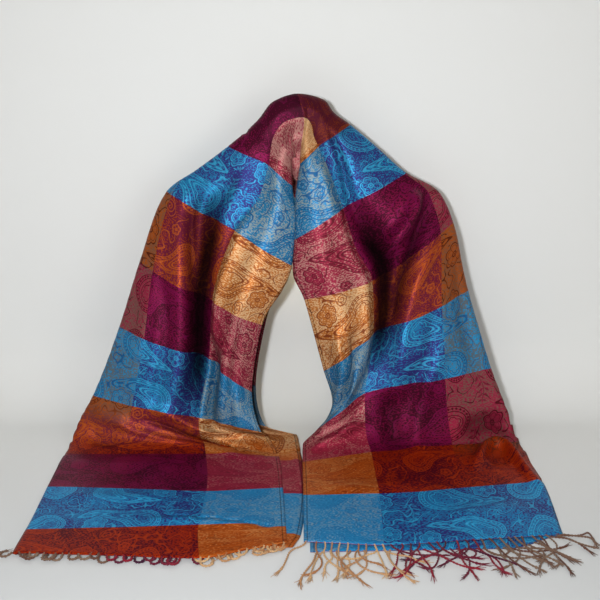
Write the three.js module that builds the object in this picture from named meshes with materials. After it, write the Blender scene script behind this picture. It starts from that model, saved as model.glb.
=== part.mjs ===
// A pashmina shawl, folded lengthwise and hung round a clothes hanger, with both tails lying forward on a surface.
// Millimetres, +Z up, +X to the viewer's right, +Y away from the viewer. The origin is the point inside the top of the
// hanger's hook that bears on a rail.
//
// The cloth is mapped by two lengths on the flat shawl: "along", from the back of the neck to the left end (negative)
// or to the right end (positive), and "across", from the selvedge that shows to the selvedge behind.
import * as THREE from "three";

// ---- The shawl as woven
const CLOTH_WIDTH = 700; // selvedge to selvedge
const LEFT_END = -958; // along, where the weave stops and the fringe starts
const RIGHT_END = 896;
const WALL = 1.2;
const GAP = 0.3; // between neighbouring pieces
const LAYER = WALL + GAP; // two layers that lie on each other
const BACK_PLEATS = 3; // soft folds in the layer behind, from the neck to the floor

// ---- Where it rests
const FLOOR = -527;
const BACK_Z = FLOOR + WALL / 2; // middle of the under layer on the floor
const FRONT_Z = BACK_Z + LAYER; // middle of the upper layer
const FLAT_FOLD = 0.95; // half thickness of the outer fold where it lies flat
const FOLD_Z = BACK_Z + FLAT_FOLD;
const LAP_Z = BACK_Z + 2 * LAYER; // the left tail's far selvedge, where it lies on the right tail
const LAP_REACH = 20; // width of cloth that rises to that height
const LAP = 10; // width of cloth that lies on the other tail
const TUCKED = 3; // how far the left tail's end stands on the fringe tucked under it

// ---- The hanger, one plain moulding with a round hook
const HOOK_RADIUS = 18; // inside
const HOOK_THICKNESS = 5.6;
const HOOK_SIDES = 12;
const HOOK_SWEEP = { from: -50, to: 200 }; // degrees round the hook, from where the stem joins it to its free end
const HOOK_POINTS = 14;
const HOOK_STEPS = 30;
const STEM_FOOT_Z = -62;
const STEM_RISES = [0, 7, 13]; // points of the straight stem, above its foot
const ARM_TIP = { x: 205.6, z: -147.6 };
const ARM_TIP_RADIUS = 6.6;
const ARM_THICKNESS = 11;
const ARM_ROUNDING = 3;
const ARM_MIDDLE_DEPTH = 24;

// ---- Fringe
const FRINGE_REACH = { left: 24, right: 88 };
const FRINGE_TUCK = 36; // how far the left fringe lies back under its tail
const FRINGE_HEIGHT = { left: 2.2, right: 4 };

// ---- Where the named stretches end, along
const COLLAR = { from: -64, to: 64 };
const ARM_TIP_SECTION = 336; // where the cloth leaves the hanger and falls free
const LANDING = 650; // the tails lie on the floor past this

// ---- Four lines that run the length of the folded cloth, at each section
// edge is the inner edge that shows, crease the valley beside the stripe that rolls forward like a lapel, outer the fold
// between the two layers, and far the selvedge behind. The last column lifts the whole section.
const LINES = [
  // the left tail, from its end to the neck
  [-958, [-21, -388, FRONT_Z], [-128, -422, FRONT_Z], [-361, -410, FOLD_Z], [-14, -396, BACK_Z], TUCKED],
  [-896, [-23, -352, FRONT_Z], [-137, -350, FRONT_Z], [-361, -359, FOLD_Z], [-4, -366, BACK_Z], TUCKED],
  [-784, [-29, -248, FRONT_Z], [-137, -258, FRONT_Z], [-367, -245, FOLD_Z], [4, -262, LAP_Z], 0],
  [-672, [-37, -152, FRONT_Z], [-150, -146, FRONT_Z], [-368, -148, FOLD_Z], [-6, -165, LAP_Z], 0],
  [-640, [-48, -116, -523], [-156, -118, -520], [-368, -121, FOLD_Z + 1], [-14, -128, BACK_Z + 1], 0],
  [-600, [-60, -90, -518], [-163, -106, -509], [-358, -88, -497], [-22, -80, BACK_Z + 2], 0],
  [-560, [-66, -107, -506], [-165, -96, -487], [-337, -70, -459], [-60, -82, -508], 0],
  [-448, [-81, -86, -447], [-149, -72, -396], [-292, -48, -349], [-76, -62, -447], 0],
  [-336, [-64, -70, -340], [-142, -52, -305], [-258, -25, -248], [-58, -46, -338], 0],
  [-224, [-22, -54, -247], [-105, -38, -196], [-214, 0, -141], [-20, -26, -246], 0],
  [-168, [-18, -40, -178], [-66, -32, -142], [-164, 0, -106], [-10, 3, -196], 0],
  [-112, [-19, -32, -126], [-54, -26, -95], [-116, 0, -71], [-6, 14, -160], 0],
  [-64, [-20, -28, -88], [-42, -21, -54], [-69, 0, -31], [-3, 18, -134], 0],
  // the neck, where the shawl stands up round the hook as a collar
  [-36, [-16, -26, -76], [-26, -18, -38], [-46, 0, -4], [-2, 20, -126], 0],
  [0, [-6, -25, -66], [-4, -17, -30], [-8, 0, 8], [-1, 22, -122], 0],
  // the right tail, from the neck to its end
  [40, [-2, -27, -70], [13, -19, -40], [33, 0, -2], [2, 20, -126], 0],
  [64, [-2, -29, -76], [17, -20, -49], [46, 0, -19], [3, 18, -134], 0],
  [112, [-2, -32, -92], [26, -24, -66], [72, 0, -38], [6, 14, -160], 0],
  [168, [-7, -39, -141], [43, -30, -108], [116, 0, -74], [6, 7, -178], 0],
  [224, [-8, -52, -207], [61, -38, -161], [161, 0, -112], [4, -4, -208], 0],
  [280, [-11, -60, -256], [81, -46, -222], [213, 0, -141], [2, -24, -256], 0],
  [336, [2, -66, -300], [108, -54, -273], [237, -10, -188], [12, -42, -300], 0],
  [448, [33, -84, -412], [111, -72, -354], [263, -32, -294], [44, -60, -412], 0],
  [504, [49, -95, -465], [104, -82, -402], [282, -46, -356], [54, -70, -462], 0],
  [560, [26, -108, -500], [97, -92, -446], [302, -58, -417], [36, -84, -502], 0],
  [600, [8, -122, -518], [97, -104, -484], [319, -70, -460], [20, -98, BACK_Z + 3], 0],
  [640, [2, -146, FRONT_Z + 1], [101, -124, -514], [335, -88, -499], [10, -130, BACK_Z], 0],
  [672, [0, -172, FRONT_Z], [105, -144, FRONT_Z + 2], [343, -112, FOLD_Z + 3], [8, -160, BACK_Z], 0],
  [784, [0, -268, FRONT_Z], [106, -267, FRONT_Z], [346, -230, FOLD_Z], [8, -262, BACK_Z], 0],
  [896, [0, -382, FRONT_Z], [101, -390, FRONT_Z], [334, -366, FOLD_Z], [8, -376, BACK_Z], 0],
];

// ---- How the cloth folds and swells at the same sections
// foldAt is the length across at the outer fold, fold the half thickness of that fold, lapel and belly how far the cloth
// swells forward on each side of the crease, lean the turn of "forward" from level (0) to straight up (90 degrees), and
// depth the most that the pleats of the back layer stand behind it.
const FOLDS = [
  // along, foldAt, fold, lapel, belly, lean, depth
  [-958, 350, FLAT_FOLD, 0, 0, 90, 0],
  [-896, 350, FLAT_FOLD, 0, 0, 90, 0],
  [-784, 350, FLAT_FOLD, 0, 0, 90, 0],
  [-672, 345, FLAT_FOLD, 0, 0, 90, 0],
  [-640, 342, 1.5, 1, 3, 75, 0],
  [-600, 330, 4, 3, 8, 40, 6],
  [-560, 315, 6, 8, 14, 15, 26],
  [-448, 290, 8, 18, 20, 5, 38],
  [-336, 268, 8, 20, 20, 0, 42],
  [-224, 245, 8, 14, 12, 0, 42],
  [-168, 225, 8, 12, 8, 0, 40],
  [-112, 200, 8, 10, 6, 0, 36],
  [-64, 175, 8, 8, 4, 0, 34],
  [-36, 166, 8, 8, 5, 0, 33],
  [0, 155, 8, 8, 3, 0, 32],
  [40, 168, 8, 8, 5, 0, 33],
  [64, 178, 8, 8, 4, 0, 34],
  [112, 200, 8, 9, 6, 0, 36],
  [168, 220, 8, 12, 8, 0, 38],
  [224, 235, 8, 14, 10, 0, 40],
  [280, 248, 8, 16, 14, 0, 42],
  [336, 262, 8, 16, 18, 0, 42],
  [448, 290, 8, 18, 22, 5, 40],
  [504, 303, 7, 18, 22, 10, 32],
  [560, 315, 6, 12, 20, 20, 22],
  [600, 325, 4, 6, 14, 40, 8],
  [640, 335, 2, 1, 8, 70, 0],
  [672, 342, FLAT_FOLD, 0, 3, 90, 0],
  [784, 350, FLAT_FOLD, 0, 0, 90, 0],
  [896, 350, FLAT_FOLD, 0, 0, 90, 0],
];

// ---- Curves through a table
// A smooth value at t through the knots (ts, values). It never swings past them, so what lies flat stays flat.
function through(ts, values, t) {
  const last = ts.length - 1;
  let i = 0;
  while (i < last - 1 && t > ts[i + 1]) i++;
  const step = (k) => (values[k + 1] - values[k]) / (ts[k + 1] - ts[k]);
  const slope = (k) => {
    if (k === 0) return step(0);
    if (k === last) return step(last - 1);
    const [before, after] = [step(k - 1), step(k)];
    if (before * after <= 0) return 0;
    const [near, far] = [ts[k] - ts[k - 1], ts[k + 1] - ts[k]];
    return (3 * (near + far)) / ((2 * far + near) / before + (far + 2 * near) / after);
  };
  const width = ts[i + 1] - ts[i];
  const x = (t - ts[i]) / width;
  const rise = values[i + 1] - values[i];
  const start = slope(i) * width;
  const end = slope(i + 1) * width;
  return values[i] + x * (start + x * (3 * rise - 2 * start - end + x * (start + end - 2 * rise)));
}

const ALONG = LINES.map(([along]) => along);
const numberColumn = (values) => (along) => through(ALONG, values, along);
function lineColumn(index) {
  const axes = [0, 1, 2].map((axis) =>
    numberColumn(LINES.map((row) => row[index][axis] + (axis === 2 ? row.at(-1) : 0))),
  );
  return (along) => new THREE.Vector3(...axes.map((at) => at(along)));
}
const LINE_NAMES = ["edge", "crease", "outer", "far"];
const FOLD_NAMES = ["foldAt", "fold", "lapel", "belly", "lean", "depth"];
const columns = [
  ...LINE_NAMES.map((name, i) => [name, lineColumn(i + 1)]),
  ...FOLD_NAMES.map((name, i) => [name, numberColumn(FOLDS.map((row) => row[i + 1]))]),
];

function sectionAt(along) {
  const row = Object.fromEntries(columns.map(([name, at]) => [name, at(along)]));
  const tilt = THREE.MathUtils.degToRad(THREE.MathUtils.clamp(row.lean, 0, 90));
  row.forward = new THREE.Vector3(0, -Math.cos(tilt), Math.sin(tilt));
  return row;
}

// A quarter turn round the outer fold, from just short of its middle (turn 0) to where the layer leaves it (turn 1).
function roundFold(row, heading, side, turn) {
  const cut = GAP / 2 / row.fold;
  const angle = cut + turn * (Math.PI / 2 - cut);
  return row.outer
    .clone()
    .addScaledVector(heading, row.fold * (1 - Math.cos(angle)))
    .addScaledVector(row.forward, side * row.fold * Math.sin(angle));
}

// ---- The two layers of a section
const FRONT_KNOTS = [0, 0.22, 0.42, 0.7, 1]; // edge, lapel, crease, belly, and where the outer fold starts

// The front layer at share 0 (edge) to 1 (start of the fold), and from there to 2 round the fold.
function frontPoint(along, share) {
  const row = sectionAt(along);
  const heading = row.crease.clone().sub(row.outer).normalize();
  if (share > 1) return roundFold(row, heading, 1, 2 - share);
  const start = roundFold(row, heading, 1, 1);
  const lapel = row.edge.clone().add(row.crease).multiplyScalar(0.5).addScaledVector(row.forward, row.lapel);
  const belly = start.clone().add(row.crease).multiplyScalar(0.5).addScaledVector(row.forward, row.belly);
  const knots = [row.edge, lapel, row.crease, belly, start];
  const axis = (name) => through(FRONT_KNOTS, knots.map((knot) => knot[name]), share);
  return new THREE.Vector3(axis("x"), axis("y"), axis("z"));
}

// A meander: a curve of length 1 whose heading swings by "swing" as a sine, so that it spans less than its length.
const MEANDER_STEPS = 96;
function meander(swing) {
  const points = [[0, 0]];
  for (let i = 0; i < MEANDER_STEPS; i++) {
    const heading = swing * Math.sin((2 * Math.PI * BACK_PLEATS * (i + 0.5)) / MEANDER_STEPS);
    const [reach, depth] = points[i];
    points.push([reach + Math.cos(heading) / MEANDER_STEPS, depth + Math.sin(heading) / MEANDER_STEPS]);
  }
  return points;
}

// The meander that spans a share of its length, found by halving the range of swings.
const MOST_SWING = 2;
const HALVINGS = 24;
function meanderSpanning(share) {
  let [low, high] = [0, MOST_SWING];
  for (let i = 0; i < HALVINGS; i++) {
    const middle = (low + high) / 2;
    if (meander(middle)[MEANDER_STEPS][0] > share) low = middle;
    else high = middle;
  }
  return meander(low);
}

const NO_DEPTH = 1e-6;
const backSections = new Map();
function backSection(along) {
  if (!backSections.has(along)) {
    const row = sectionAt(along);
    const heading = row.far.clone().sub(row.outer).normalize();
    const start = roundFold(row, heading, -1, 1);
    const chord = row.far.clone().sub(start);
    const width = CLOTH_WIDTH - row.foldAt;
    const curve = meanderSpanning(Math.min(1, chord.length() / width));
    const deepest = Math.max(NO_DEPTH, ...curve.map(([, depth]) => depth * width));
    const span = curve[MEANDER_STEPS][0];
    const scale = width * Math.min(1, Math.max(0, row.depth) / deepest);
    backSections.set(along, { row, heading, start, chord, curve, span, scale });
  }
  return backSections.get(along);
}

// The back layer at share 0 (start, behind the fold) to 1 (far selvedge), and from -1 to 0 round the fold.
const LYING = 80; // a section that leans further than this lies on the floor
function backPoint(along, share) {
  const { row, heading, start, chord, curve, span, scale } = backSection(along);
  if (share < 0) return roundFold(row, heading, -1, 1 + share);
  const at = share * MEANDER_STEPS;
  const i = Math.min(MEANDER_STEPS - 1, Math.floor(at));
  const mix = (k) => curve[i][k] + (curve[i + 1][k] - curve[i][k]) * (at - i);
  const point = start.clone().addScaledVector(chord, mix(0) / span).addScaledVector(row.forward, -mix(1) * scale);
  // The lap on the other tail rises only along the far selvedge.
  const rise = row.far.z - BACK_Z;
  if (row.lean > LYING && along < 0 && rise > 0) {
    const under = row.outer.z - FOLD_Z;
    const fromEdge = (1 - share) * chord.length();
    const lapped = THREE.MathUtils.smoothstep(LAP_REACH - fromEdge, 0, LAP_REACH - LAP);
    point.z = BACK_Z + under + (rise - under) * lapped;
  }
  return point;
}

// ---- A cloth wall from a surface
const NEARBY = { along: 0.02, share: 0.001 }; // the steps that a surface's slopes are measured over
function wall(surface, shares, alongs) {
  const rows = alongs.length;
  const perRow = shares.length;
  const positions = [];
  for (const side of [1, -1]) {
    for (const along of alongs) {
      for (const share of shares) {
        const lengthwise = surface(along + NEARBY.along, share).sub(surface(along - NEARBY.along, share));
        const crosswise = surface(along, share + NEARBY.share).sub(surface(along, share - NEARBY.share));
        const normal = crosswise.cross(lengthwise).normalize();
        positions.push(...surface(along, share).addScaledVector(normal, (side * WALL) / 2).toArray());
      }
    }
  }
  const at = (side, row, place) => side * rows * perRow + row * perRow + place;
  const faces = [];
  const quad = (a, b, c, d) => faces.push(a, b, c, a, c, d);
  const lastRow = rows - 1;
  const last = perRow - 1;
  for (let r = 0; r < lastRow; r++) {
    for (let c = 0; c < last; c++) {
      quad(at(0, r, c), at(0, r, c + 1), at(0, r + 1, c + 1), at(0, r + 1, c));
      quad(at(1, r, c), at(1, r + 1, c), at(1, r + 1, c + 1), at(1, r, c + 1));
    }
    quad(at(0, r, 0), at(0, r + 1, 0), at(1, r + 1, 0), at(1, r, 0));
    quad(at(0, r, last), at(1, r, last), at(1, r + 1, last), at(0, r + 1, last));
  }
  for (let c = 0; c < last; c++) {
    quad(at(0, 0, c), at(1, 0, c), at(1, 0, c + 1), at(0, 0, c + 1));
    quad(at(0, lastRow, c), at(0, lastRow, c + 1), at(1, lastRow, c + 1), at(1, lastRow, c));
  }
  const geometry = new THREE.BufferGeometry();
  geometry.setAttribute("position", new THREE.Float32BufferAttribute(positions, 3));
  geometry.setIndex(faces);
  geometry.computeVertexNormals();
  return geometry;
}

// Evenly spaced values from one number to another, both included.
const spread = (from, to, count) => Array.from({ length: count + 1 }, (_, i) => from + ((to - from) * i) / count);

// ---- The pieces
const shawl = new THREE.Group();

function addPiece(parent, name, geometry, color, roughness) {
  const mesh = new THREE.Mesh(geometry, new THREE.MeshStandardMaterial({ color, roughness, metalness: 0 }));
  mesh.name = name;
  parent.add(mesh);
  return mesh;
}

const CLOTH_COLOUR = { left: 0x6f2440, right: 0x2a6fa6, neck: 0x4b0f32 };
const CLOTH_ROUGHNESS = 0.6;
const FRONT_SHARES = [0, 0.11, 0.22, 0.32, 0.42, 0.5, 0.6, 0.7, 0.8, 0.9, 1, 1.5, 2];
const PLEATED_SHARES = [-1, -0.5, ...spread(0, 1, 18)];
const FLAT_SHARES = [-1, -0.5, 0, 0.3, 0.6, 0.9, 0.945, 0.972, 1]; // close together where the lap rises

// The places along a stretch where it is sampled: every section in the table, and between them so that no step is long.
function sectionsBetween(from, to, longest) {
  const stops = [from, ...ALONG.filter((along) => along > from && along < to), to];
  return stops.slice(1).flatMap((stop, i) => spread(stops[i], stop, Math.ceil((stop - stops[i]) / longest)).slice(1));
}

// Both layers of a stretch, on the same sections, so that they meet all along the outer fold.
const NECK_SEAM = 1; // along, because the sections crowd together round the neck
function addStretch(name, from, to, longest, backShares, color) {
  const seam = from === COLLAR.to || to === COLLAR.from || to === COLLAR.to ? NECK_SEAM : GAP;
  const alongs = [from, ...sectionsBetween(from, to, longest)];
  alongs[0] += seam / 2;
  alongs[alongs.length - 1] -= seam / 2;
  addPiece(shawl, `${name}_front`, wall(frontPoint, FRONT_SHARES, alongs), color, CLOTH_ROUGHNESS);
  addPiece(shawl, `${name}_back`, wall(backPoint, backShares, alongs), color, CLOTH_ROUGHNESS);
}

const STEP = { neck: 18, hanging: 40, flat: 60 };
const { left, right, neck } = CLOTH_COLOUR;
addStretch("collar", COLLAR.from, COLLAR.to, STEP.neck, PLEATED_SHARES, neck);
addStretch("left_shoulder", -ARM_TIP_SECTION, COLLAR.from, STEP.hanging, PLEATED_SHARES, left);
addStretch("left_fall", -LANDING, -ARM_TIP_SECTION, STEP.hanging, PLEATED_SHARES, left);
addStretch("left_tail", LEFT_END, -LANDING, STEP.flat, FLAT_SHARES, left);
addStretch("right_shoulder", COLLAR.to, ARM_TIP_SECTION, STEP.hanging, PLEATED_SHARES, right);
addStretch("right_fall", ARM_TIP_SECTION, LANDING, STEP.hanging, PLEATED_SHARES, right);
addStretch("right_tail", LANDING, RIGHT_END, STEP.flat, FLAT_SHARES, right);

// ---- The fringe: a slab of its reach, from its root under or against the hem out to the tassels' ends
const FRINGE_COLOUR = { left: 0x8a5a44, right: 0xa98257 };
function addFringe(name, along, rootBack, reach, height, color) {
  const hem = FRONT_SHARES.filter((share) => share <= 1).map((share) => frontPoint(along, share));
  const fromHem = (distance) => hem.map((point) => new THREE.Vector2(point.x, point.y - distance));
  const outline = new THREE.Shape([...fromHem(rootBack), ...fromHem(reach).reverse()]);
  const geometry = new THREE.ExtrudeGeometry(outline, { depth: height, bevelEnabled: false });
  const slab = addPiece(shawl, name, geometry, color, CLOTH_ROUGHNESS);
  slab.position.z = FLOOR;
}
addFringe("left_fringe", LEFT_END, -FRINGE_TUCK, FRINGE_REACH.left, FRINGE_HEIGHT.left, FRINGE_COLOUR.left);
addFringe("right_fringe", RIGHT_END, GAP, FRINGE_REACH.right, FRINGE_HEIGHT.right, FRINGE_COLOUR.right);

// ---- The hanger
const HANGER = { color: 0xe9e6df, roughness: 0.35 };
const hanger = new THREE.Group();
shawl.add(hanger);

function hookPath() {
  const radius = HOOK_RADIUS + HOOK_THICKNESS / 2;
  const stem = STEM_RISES.map((up) => new THREE.Vector3(0, 0, STEM_FOOT_Z + up));
  const turns = spread(HOOK_SWEEP.from, HOOK_SWEEP.to, HOOK_POINTS).map((degrees) => {
    const angle = THREE.MathUtils.degToRad(degrees);
    return new THREE.Vector3(radius * Math.cos(angle), 0, radius * Math.sin(angle) - HOOK_RADIUS);
  });
  return new THREE.CatmullRomCurve3([...stem, ...turns], false, "centripetal");
}

function hookGeometry() {
  const section = new THREE.Shape();
  section.absarc(0, 0, HOOK_THICKNESS / 2, 0, 2 * Math.PI);
  return new THREE.ExtrudeGeometry(section, {
    steps: HOOK_STEPS,
    curveSegments: HOOK_SIDES / 2,
    bevelEnabled: false,
    extrudePath: hookPath(),
  });
}

// The outline of both arms, seen from the front, drawn smaller by the rounding that the bevel puts back.
function armsGeometry() {
  const radius = ARM_TIP_RADIUS - ARM_ROUNDING;
  const top = STEM_FOOT_Z - GAP - ARM_ROUNDING;
  const bottom = STEM_FOOT_Z - GAP - ARM_MIDDLE_DEPTH + ARM_ROUNDING;
  const slope = Math.atan2(STEM_FOOT_Z - ARM_TIP.z - ARM_TIP_RADIUS, ARM_TIP.x);
  const noseTop = Math.PI / 2 - slope;
  const outline = new THREE.Shape();
  outline.moveTo(0, top);
  outline.lineTo(ARM_TIP.x + radius * Math.cos(noseTop), ARM_TIP.z + radius * Math.sin(noseTop));
  outline.absarc(ARM_TIP.x, ARM_TIP.z, radius, noseTop, noseTop - Math.PI, true);
  outline.lineTo(0, bottom);
  outline.absarc(-ARM_TIP.x, ARM_TIP.z, radius, -noseTop, -noseTop - Math.PI, true);
  const geometry = new THREE.ExtrudeGeometry(outline, {
    depth: ARM_THICKNESS - 2 * ARM_ROUNDING,
    curveSegments: 10,
    bevelThickness: ARM_ROUNDING,
    bevelSize: ARM_ROUNDING,
    bevelSegments: 3,
  });
  return geometry.translate(0, 0, ARM_ROUNDING - ARM_THICKNESS / 2).rotateX(Math.PI / 2);
}

addPiece(hanger, "hanger_hook", hookGeometry(), HANGER.color, HANGER.roughness);
addPiece(hanger, "hanger_arms", armsGeometry(), HANGER.color, HANGER.roughness);

export default shawl;
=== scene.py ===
# %% [markdown]
# A pashmina shawl, folded lengthwise and hung round a clothes hanger. The cloth is one woven sheet, 700 by
# 1854 mm, with coloured bands across it, warp stripes along it, and a jacquard of paisleys, flowers and
# leaves all over. Its ends finish in twisted fringe. This lesson builds the sheet, its weave, its fringe
# and a plain studio round it.

# %% The frame that the shawl is built on
import math

import bpy
import numpy as np
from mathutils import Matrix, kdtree


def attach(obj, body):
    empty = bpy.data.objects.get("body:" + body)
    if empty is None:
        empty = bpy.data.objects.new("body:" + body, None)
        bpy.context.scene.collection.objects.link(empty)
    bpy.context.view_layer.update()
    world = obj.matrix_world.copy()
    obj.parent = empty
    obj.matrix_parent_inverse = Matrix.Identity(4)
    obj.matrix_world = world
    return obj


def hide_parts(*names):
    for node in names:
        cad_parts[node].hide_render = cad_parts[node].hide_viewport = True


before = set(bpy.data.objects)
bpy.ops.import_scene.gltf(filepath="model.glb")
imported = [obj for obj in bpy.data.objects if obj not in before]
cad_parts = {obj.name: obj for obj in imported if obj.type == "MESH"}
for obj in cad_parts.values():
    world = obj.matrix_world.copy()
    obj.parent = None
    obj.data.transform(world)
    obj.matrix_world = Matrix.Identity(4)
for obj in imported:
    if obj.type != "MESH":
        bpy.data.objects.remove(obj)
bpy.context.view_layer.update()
bpy.ops.object.select_all(action="DESELECT")
MM = 0.001
print("frame nodes:", len(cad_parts))

# %% [markdown]
# The camera comes first, because everything else is judged through it. It looks down by 17 degrees from the
# height of the hanger's hook, so the tails on the floor show their whole length.

# %% Camera
CAMERA_PLACE = (-0.0047, -1.292, 0.0745)
CAMERA_TILT = 17
CAMERA_LENS = 49.44
camera_data = bpy.data.cameras.new("camera")
camera_data.lens = CAMERA_LENS
camera_data.sensor_width = 36
camera = bpy.data.objects.new("camera", camera_data)
bpy.context.scene.collection.objects.link(camera)
camera.location = CAMERA_PLACE
camera.rotation_euler = (math.radians(90 - CAMERA_TILT), 0, 0)
bpy.context.scene.camera = camera
print("camera lens:", CAMERA_LENS)

# %% [markdown]
# Three helpers carry the whole shape. One draws a smooth curve through a few knots without ever swinging
# past them, so that cloth which lies flat stays flat. One fades a fold in and out, because a real crease
# has no sharp ends. And one crowds together what reaches further than there is room for.


# %% Curve helpers
def through(knots, values, t):
    """Smooth values at t through the knots. values may hold one number, or several, for each knot."""
    knots, values, t = (np.asarray(x, float) for x in (knots, values, t))
    shape = (-1,) + (1,) * (values.ndim - 1)
    width = np.diff(knots).reshape(shape)
    step = np.diff(values, axis=0) / width
    before, after, near, far = step[:-1], step[1:], width[:-1], width[1:]
    same_way = before * after > 0
    safe_before = np.where(same_way, before, 1)
    safe_after = np.where(same_way, after, 1)
    middle = 3 * (near + far) / ((2 * far + near) / safe_before + (far + 2 * near) / safe_after)
    slope = np.concatenate([step[:1], np.where(same_way, middle, 0), step[-1:]])
    i = np.clip(np.searchsorted(knots, t) - 1, 0, len(knots) - 2)
    span = np.diff(knots)[i].reshape(shape)
    x = ((t - knots[i]).reshape(shape)) / span
    rise = values[i + 1] - values[i]
    start, end = slope[i] * span, slope[i + 1] * span
    return values[i] + x * (start + x * (3 * rise - 2 * start - end + x * (start + end - 2 * rise)))


def smooth(x, low, high):
    """0 below low, 1 above high, with a soft step between."""
    t = np.clip((x - low) / (high - low), 0, 1)
    return t * t * (3 - 2 * t)


def crowded(x, limit, room):
    """x itself up to the limit, and past it squeezed into this much more room."""
    return np.where(x > limit, limit + room * np.tanh((x - limit) / room), x)


print("a step from 0 to 10, at 5:", smooth(5, 0, 10), "crowded:", crowded(5, 0, 10).round(2))

# %% [markdown]
# The sheet is mapped by two lengths on the flat cloth, in millimetres: "along", from the back of the neck
# to the left end (negative) or the right end (positive), and "across", from the selvedge that shows to the
# selvedge behind. The tables say where four lines of the folded cloth run, section by section, and how it
# folds between them.

# %% The cloth's sizes and sections
CLOTH_WIDTH = 700
LEFT_END = -958
RIGHT_END = 896
FLOOR = -527
CLOTH = 0.8  # the thickness that shows; the solid's wall is thicker
# heights on the floor: of the under layer, the upper one, the outer fold between them, and an under layer
# that laps over the other tail; and how far the left end is lifted by the fringe caught under it
UNDER = FLOOR + 0.8
UPPER = UNDER + 1.9
ROUND = UNDER + 0.95
LAPPED = UNDER + 3.4
TUCKED = 3
# along, then the places of the edge that shows, the crease beside the lapel, the outer fold and the far
# edge, and how much higher all of them lie
LINES = [
    # the left tail, from its end to the neck
    (-958, (-21, -388, UPPER), (-128, -422, UPPER), (-361, -410, ROUND), (-14, -396, UNDER), TUCKED),
    (-896, (-23, -352, UPPER), (-137, -350, UPPER), (-361, -359, ROUND), (-4, -366, UNDER), TUCKED),
    (-784, (-29, -248, UPPER), (-137, -258, UPPER), (-367, -245, ROUND), (4, -262, LAPPED), 0),
    (-672, (-37, -152, UPPER), (-150, -146, UPPER), (-368, -148, ROUND), (-1, -165, LAPPED), 0),
    (-640, (-48, -116, -523), (-156, -118, -520), (-368, -121, ROUND + 1), (-5, -128, LAPPED), 0),
    (-600, (-60, -90, -518), (-163, -106, -509), (-358, -88, -497), (-11, -84, LAPPED + 1), 0),
    (-560, (-66, -107, -506), (-165, -96, -487), (-337, -70, -459), (-60, -82, -508), 0),
    (-448, (-81, -86, -447), (-149, -72, -396), (-292, -48, -349), (-76, -62, -447), 0),
    (-336, (-64, -70, -340), (-142, -52, -305), (-258, -25, -248), (-58, -46, -338), 0),
    (-224, (-20, -55, -247), (-105, -38, -196), (-214, 0, -141), (-20, -26, -246), 0),
    (-168, (-12.5, -43, -178), (-66, -32, -142), (-164, 0, -106), (-10, 3, -196), 0),
    (-112, (-19, -32, -126), (-54, -26, -95), (-116, 0, -71), (-6, 14, -160), 0),
    (-64, (-20, -28, -88), (-42, -21, -54), (-69, 0, -31), (-3, 18, -134), 0),
    (-36, (-16, -26, -76), (-24, -18, -36), (-46, 0, -4), (-2, 20, -126), 0),
    (0, (-3, -25, -66), (3, -17, -30), (-8, 0, 8), (-1, 22, -122), 0),
    # the right tail
    (40, (-2, -27, -70), (15, -19, -38), (33, 0, -2), (2, 20, -126), 0),
    (64, (-2, -29, -76), (17, -20, -49), (46, 0, -19), (3, 18, -134), 0),
    (112, (-2, -32, -92), (26, -24, -66), (72, 0, -38), (6, 14, -160), 0),
    (168, (-9, -39, -141), (43, -30, -108), (116, 0, -74), (6, 7, -178), 0),
    (224, (-11, -51, -207), (61, -38, -161), (161, 0, -112), (4, -4, -208), 0),
    (280, (-13, -60, -256), (81, -46, -222), (213, 0, -141), (2, -24, -256), 0),
    (336, (2, -66, -300), (108, -54, -273), (237, -10, -188), (12, -42, -300), 0),
    (448, (33, -84, -412), (111, -72, -354), (263, -32, -294), (44, -60, -412), 0),
    (504, (49, -95, -465), (104, -82, -402), (282, -46, -356), (54, -70, -462), 0),
    (560, (23, -108, -501), (97, -92, -446), (302, -58, -417), (36, -84, -502), 0),
    (600, (0, -122, -520), (97, -104, -484), (319, -70, -460), (20, -98, UNDER + 3), 0),
    (640, (-1, -146, UPPER), (101, -124, -514), (335, -88, -499), (10, -130, UNDER), 0),
    (672, (-1, -172, UPPER), (105, -144, UPPER + 2), (343, -112, ROUND + 3), (8, -160, UNDER), 0),
    (784, (0, -268, UPPER), (106, -267, UPPER), (346, -230, ROUND), (8, -262, UNDER), 0),
    (896, (0, -382, UPPER), (101, -390, UPPER), (334, -366, ROUND), (8, -376, UNDER), 0),
]
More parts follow.
